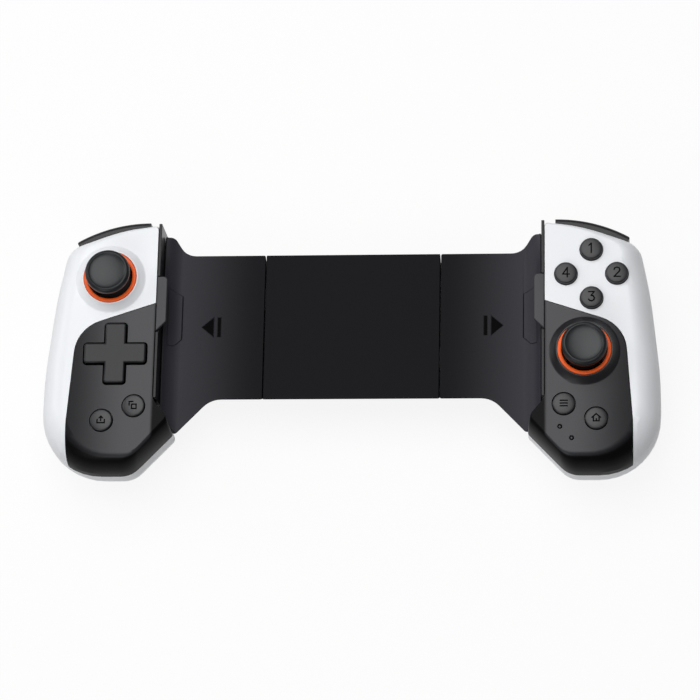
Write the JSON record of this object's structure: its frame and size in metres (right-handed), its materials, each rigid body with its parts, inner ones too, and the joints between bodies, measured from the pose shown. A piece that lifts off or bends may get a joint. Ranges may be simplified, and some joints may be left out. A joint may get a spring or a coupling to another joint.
{
  "type": "mobile game controller",
  "caption": "Stretch-fit game controller: grips with sticks, d-pad, buttons, bumpers and triggers on a sprung telescopic bridge that clamps a phone between them.",
  "frame": {"origin": "on the table under the middle of the closed controller, which lies on the backs of its handles", "axes": "+X towards the right grip, +Y towards the shoulder buttons, +Z out of the front face"},
  "size_m": [0.22, 0.0934, 0.042],
  "materials": {
    "white_shell": "satin white moulded shell",
    "dark_plate": "fine matte",
    "black_bridge": "fine matte",
    "grey_grip": "matte",
    "stick_rubber": "matte",
    "orange_ring": "satin",
    "shoulder_black": "satin",
    "button_dark": "satin",
    "steel": "plain",
    "inner_plastic": "plain",
    "circuit_green": "lacquered",
    "battery_foil": "foil",
    "light_lens": "clear frosted"
  },
  "bodies": {
    "bridge": {"centre_front_panel": "black_bridge", "centre_back_cover": "black_bridge", "pinion_pin": "steel", "bridge_screws": "steel", "left_return_spring": "steel", "right_return_spring": "steel"},
    "pinion": {"pinion_gear": "steel"},
    "left_grip": {"left_bridge_panel": "black_bridge", "left_slide_arm": "inner_plastic", "left_inner_wall": "black_bridge", "left_phone_lip": "grey_grip", "left_wing_pad": "grey_grip", "left_rear_shell": "white_shell", "left_front_cover": "white_shell", "left_front_plate": "dark_plate", "left_circuit_board": "circuit_green", "left_shell_screws": "steel", "left_shoulder_pins": "steel", "left_stick_housing": "inner_plastic", "left_stick_ring": "orange_ring", "left_battery": "battery_foil"},
    "right_grip": {"right_bridge_panel": "black_bridge", "right_slide_arm": "inner_plastic", "right_inner_wall": "black_bridge", "right_phone_lip": "grey_grip", "right_wing_pad": "grey_grip", "right_rear_shell": "white_shell", "right_front_cover": "white_shell", "right_front_plate": "dark_plate", "right_circuit_board": "circuit_green", "right_shell_screws": "steel", "right_shoulder_pins": "steel", "right_stick_housing": "inner_plastic", "right_stick_ring": "orange_ring", "right_charging_port": "steel", "right_indicator_lights": "light_lens"},
    "left_stick_yoke": {"left_stick_yoke": "inner_plastic"},
    "left_stick_shaft": {"left_stick_shaft": "inner_plastic"},
    "left_stick_cap": {"left_stick_cap": "stick_rubber"},
    "left_dpad_pivot": {"left_dpad_pivot": "steel"},
    "left_dpad": {"left_dpad": "button_dark"},
    "left_view_button": {"left_view_button": "button_dark"},
    "left_capture_button": {"left_capture_button": "button_dark"},
    "left_bumper": {"left_bumper": "shoulder_black"},
    "left_trigger": {"left_trigger": "shoulder_black"},
    "right_stick_yoke": {"right_stick_yoke": "inner_plastic"},
    "right_stick_shaft": {"right_stick_shaft": "inner_plastic"},
    "right_stick_cap": {"right_stick_cap": "stick_rubber"},
    "right_menu_button": {"right_menu_button": "button_dark"},
    "right_home_button": {"right_home_button": "button_dark"},
    "right_bumper": {"right_bumper": "shoulder_black"},
    "right_trigger": {"right_trigger": "shoulder_black"},
    "face_button_1": {"face_button_1": "button_dark"},
    "face_button_2": {"face_button_2": "button_dark"},
    "face_button_3": {"face_button_3": "button_dark"},
    "face_button_4": {"face_button_4": "button_dark"}
  },
  "joints": [
    {"name": "left_slide", "type": "slide", "parent": "bridge", "child": "left_grip", "axis": [-1, 0, 0], "range_m": [0, 0.023], "stiffness_N_per_m": 150, "springref_m": -0.02, "deforming": ["left_return_spring"]},
    {"name": "right_slide", "type": "slide", "parent": "bridge", "child": "right_grip", "axis": [1, 0, 0], "range_m": [0, 0.023], "stiffness_N_per_m": 150, "springref_m": -0.02, "deforming": ["right_return_spring"]},
    {"name": "pinion_spin", "type": "hinge", "parent": "bridge", "child": "pinion", "pos_m": [0, 0.0092, 0.01475], "axis": [0, 0, 1], "range_deg": [0, 220]},
    {"name": "left_stick_tilt_x", "type": "hinge", "parent": "left_grip", "child": "left_stick_yoke", "pos_m": [-0.0858, 0.02337, 0.02], "axis": [1, 0, 0], "range_deg": [-13, 13], "stiffness_Nm_per_rad": 0.05},
    {"name": "left_stick_tilt_y", "type": "hinge", "parent": "left_stick_yoke", "child": "left_stick_shaft", "pos_m": [-0.0858, 0.02337, 0.02], "axis": [0, 1, 0], "range_deg": [-13, 13], "stiffness_Nm_per_rad": 0.05},
    {"name": "left_stick_click", "type": "slide", "parent": "left_stick_shaft", "child": "left_stick_cap", "axis": [0, 0, -1], "range_m": [0, 0.0005], "stiffness_N_per_m": 2000, "springref_m": -0.0005},
    {"name": "right_stick_tilt_x", "type": "hinge", "parent": "right_grip", "child": "right_stick_yoke", "pos_m": [0.0832, -0.00453, 0.02], "axis": [1, 0, 0], "range_deg": [-13, 13], "stiffness_Nm_per_rad": 0.05},
    {"name": "right_stick_tilt_y", "type": "hinge", "parent": "right_stick_yoke", "child": "right_stick_shaft", "pos_m": [0.0832, -0.00453, 0.02], "axis": [0, 1, 0], "range_deg": [-13, 13], "stiffness_Nm_per_rad": 0.05},
    {"name": "right_stick_click", "type": "slide", "parent": "right_stick_shaft", "child": "right_stick_cap", "axis": [0, 0, -1], "range_m": [0, 0.0005], "stiffness_N_per_m": 2000, "springref_m": -0.0005},
    {"name": "dpad_rock_x", "type": "hinge", "parent": "left_grip", "child": "left_dpad_pivot", "pos_m": [-0.0832, -0.00453, 0.0294], "axis": [1, 0, 0], "range_deg": [-3.5, 3.5], "stiffness_Nm_per_rad": 0.3},
    {"name": "dpad_rock_y", "type": "hinge", "parent": "left_dpad_pivot", "child": "left_dpad", "pos_m": [-0.0832, -0.00453, 0.0294], "axis": [0, 1, 0], "range_deg": [-3.5, 3.5], "stiffness_Nm_per_rad": 0.3},
    {"name": "view_button_press", "type": "slide", "parent": "left_grip", "child": "left_view_button", "axis": [0, 0, -1], "range_m": [0, 0.001], "stiffness_N_per_m": 600, "springref_m": -0.0005},
    {"name": "capture_button_press", "type": "slide", "parent": "left_grip", "child": "left_capture_button", "axis": [0, 0, -1], "range_m": [0, 0.001], "stiffness_N_per_m": 600, "springref_m": -0.0005},
    {"name": "menu_button_press", "type": "slide", "parent": "right_grip", "child": "right_menu_button", "axis": [0, 0, -1], "range_m": [0, 0.001], "stiffness_N_per_m": 600, "springref_m": -0.0005},
    {"name": "home_button_press", "type": "slide", "parent": "right_grip", "child": "right_home_button", "axis": [0, 0, -1], "range_m": [0, 0.001], "stiffness_N_per_m": 600, "springref_m": -0.0005},
    {"name": "face_button_1_press", "type": "slide", "parent": "right_grip", "child": "face_button_1", "axis": [0, 0, -1], "range_m": [0, 0.001], "stiffness_N_per_m": 600, "springref_m": -0.0005},
    {"name": "face_button_2_press", "type": "slide", "parent": "right_grip", "child": "face_button_2", "axis": [0, 0, -1], "range_m": [0, 0.001], "stiffness_N_per_m": 600, "springref_m": -0.0005},
    {"name": "face_button_3_press", "type": "slide", "parent": "right_grip", "child": "face_button_3", "axis": [0, 0, -1], "range_m": [0, 0.001], "stiffness_N_per_m": 600, "springref_m": -0.0005},
    {"name": "face_button_4_press", "type": "slide", "parent": "right_grip", "child": "face_button_4", "axis": [0, 0, -1], "range_m": [0, 0.001], "stiffness_N_per_m": 600, "springref_m": -0.0005},
    {"name": "left_bumper_press", "type": "hinge", "parent": "left_grip", "child": "left_bumper", "pos_m": [-0.076, 0.04142, 0.0232], "axis": [0, 0, 1], "range_deg": [0, 2.5], "stiffness_Nm_per_rad": 0.8, "springref_deg": -1.15},
    {"name": "left_trigger_pull", "type": "hinge", "parent": "left_grip", "child": "left_trigger", "pos_m": [-0.086, 0.03528, 0.014], "axis": [-1, 0, 0], "range_deg": [0, 12], "stiffness_Nm_per_rad": 0.12, "springref_deg": -2.86},
    {"name": "right_bumper_press", "type": "hinge", "parent": "right_grip", "child": "right_bumper", "pos_m": [0.076, 0.04142, 0.0232], "axis": [0, 0, -1], "range_deg": [0, 2.5], "stiffness_Nm_per_rad": 0.8, "springref_deg": -1.15},
    {"name": "right_trigger_pull", "type": "hinge", "parent": "right_grip", "child": "right_trigger", "pos_m": [0.086, 0.03528, 0.014], "axis": [-1, 0, 0], "range_deg": [0, 12], "stiffness_Nm_per_rad": 0.12, "springref_deg": -2.86}
  ],
  "couplings": [
    {"joint": "right_slide", "follows": "left_slide", "ratio": 1},
    {"joint": "pinion_spin", "follows": "left_slide", "rad_per_m": 166.67}
  ]
}
